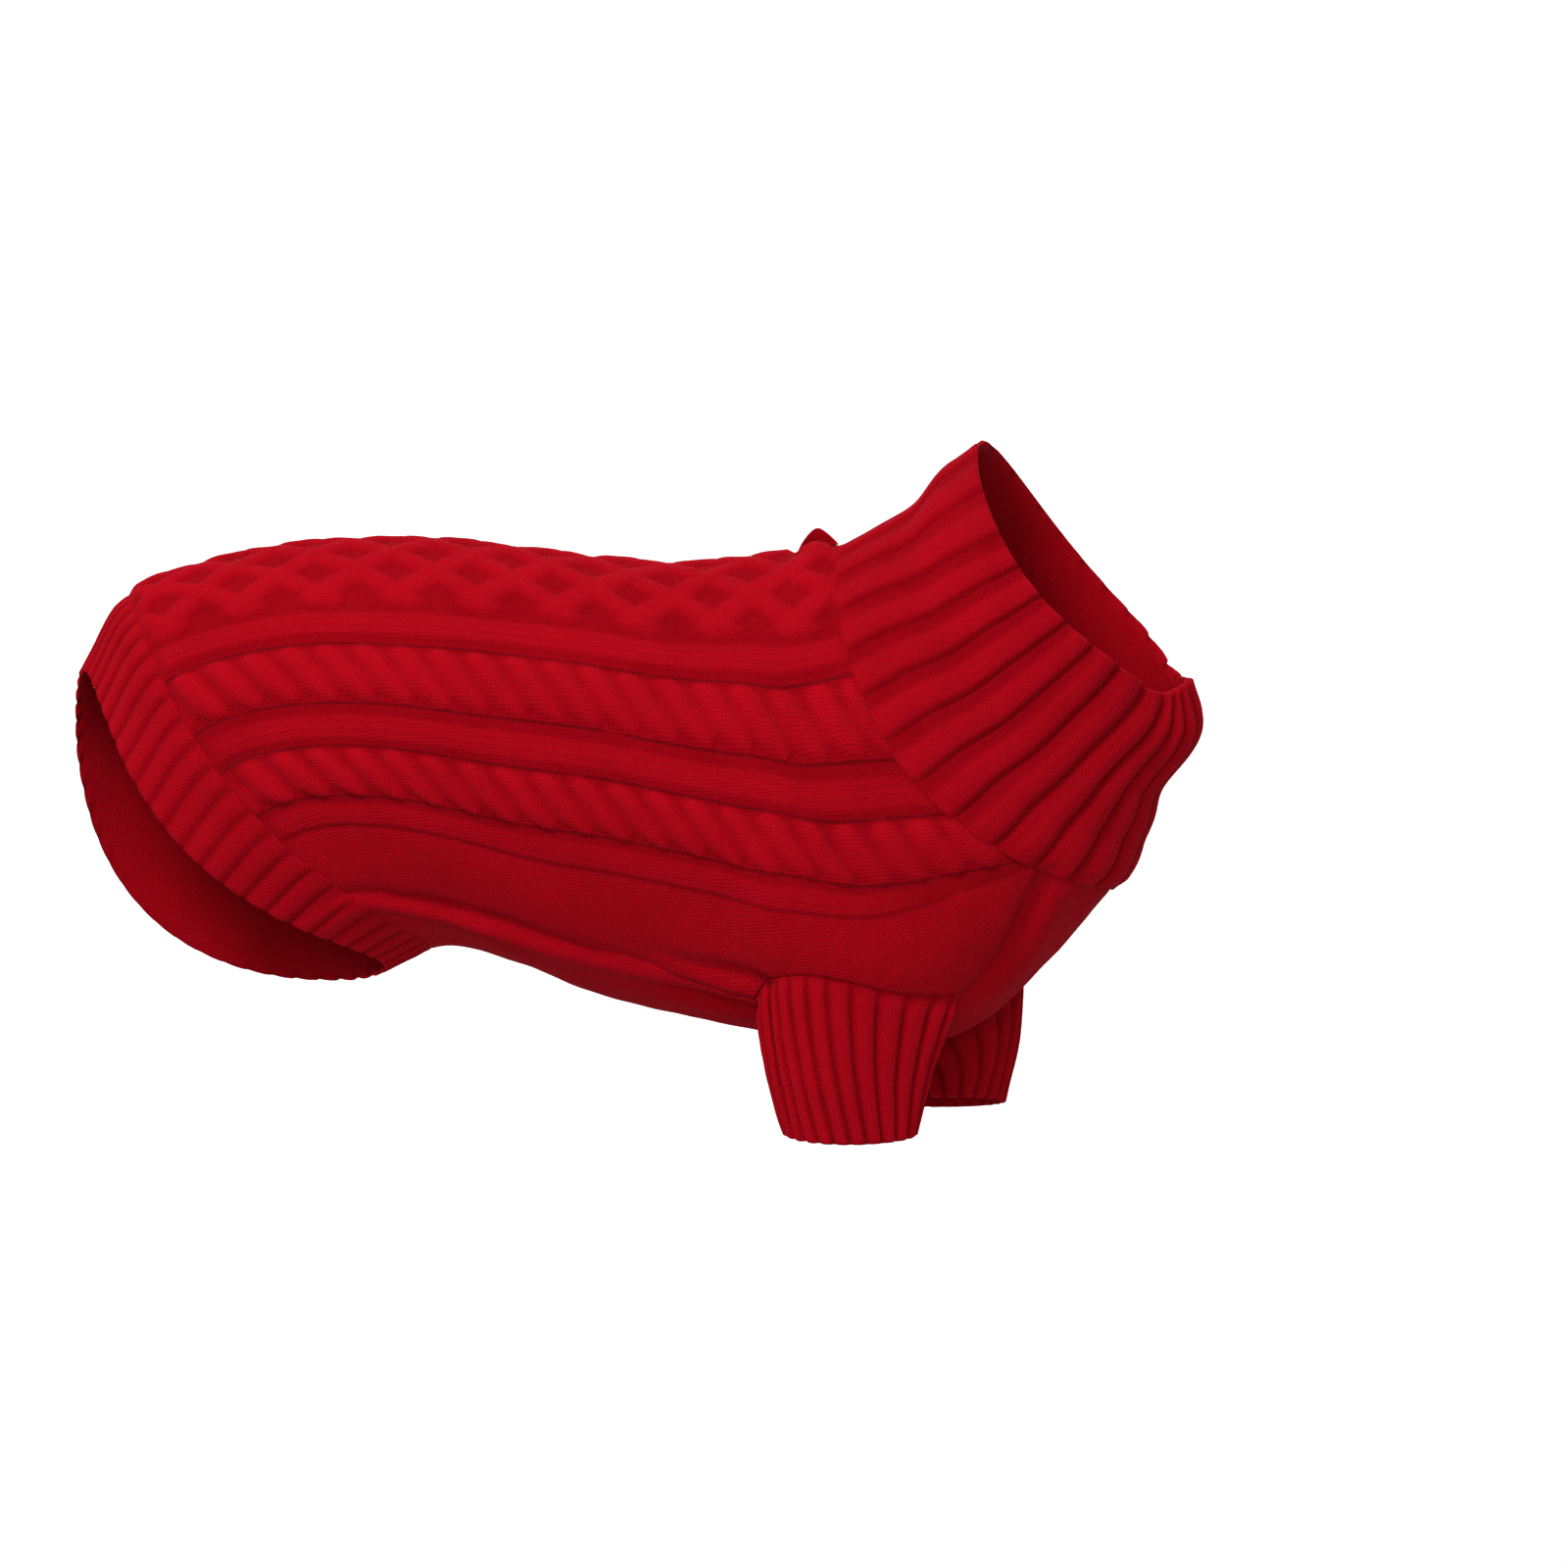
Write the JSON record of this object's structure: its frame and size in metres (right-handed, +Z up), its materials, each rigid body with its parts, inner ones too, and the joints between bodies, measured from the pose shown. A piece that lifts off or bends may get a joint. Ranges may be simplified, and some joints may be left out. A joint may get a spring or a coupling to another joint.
{
  "type": "dog sweater",
  "caption": "Cable-knit turtleneck sweater for a large dog, hollow in its worn shape, with short ribbed sleeves, a ribbed hem and a lead slit behind the collar.",
  "frame": {"origin": "inner face of the back panel on its middle line, over the wearer's shoulders, where the wearer's back carries the garment", "axes": "+X along the back towards the collar, +Y towards the garment's left side, +Z up"},
  "size_m": [0.6483, 0.2126, 0.4009],
  "materials": {
    "cable_knit": "soft deep red cable knit with a light nap",
    "plain_knit": "soft deep red plain knit",
    "collar_rib": "deep red wide rib knit",
    "hem_rib": "deep red rib knit",
    "cuff_rib": "deep red narrow rib knit",
    "binding": "deep red knitted edge"
  },
  "bodies": {
    "root": {"back_panel": "cable_knit", "belly_panel": "plain_knit", "collar": "collar_rib", "hem_rib": "hem_rib", "cuff_right": "cuff_rib", "cuff_left": "cuff_rib", "leash_slit_binding": "binding"}
  },
  "joints": []
}
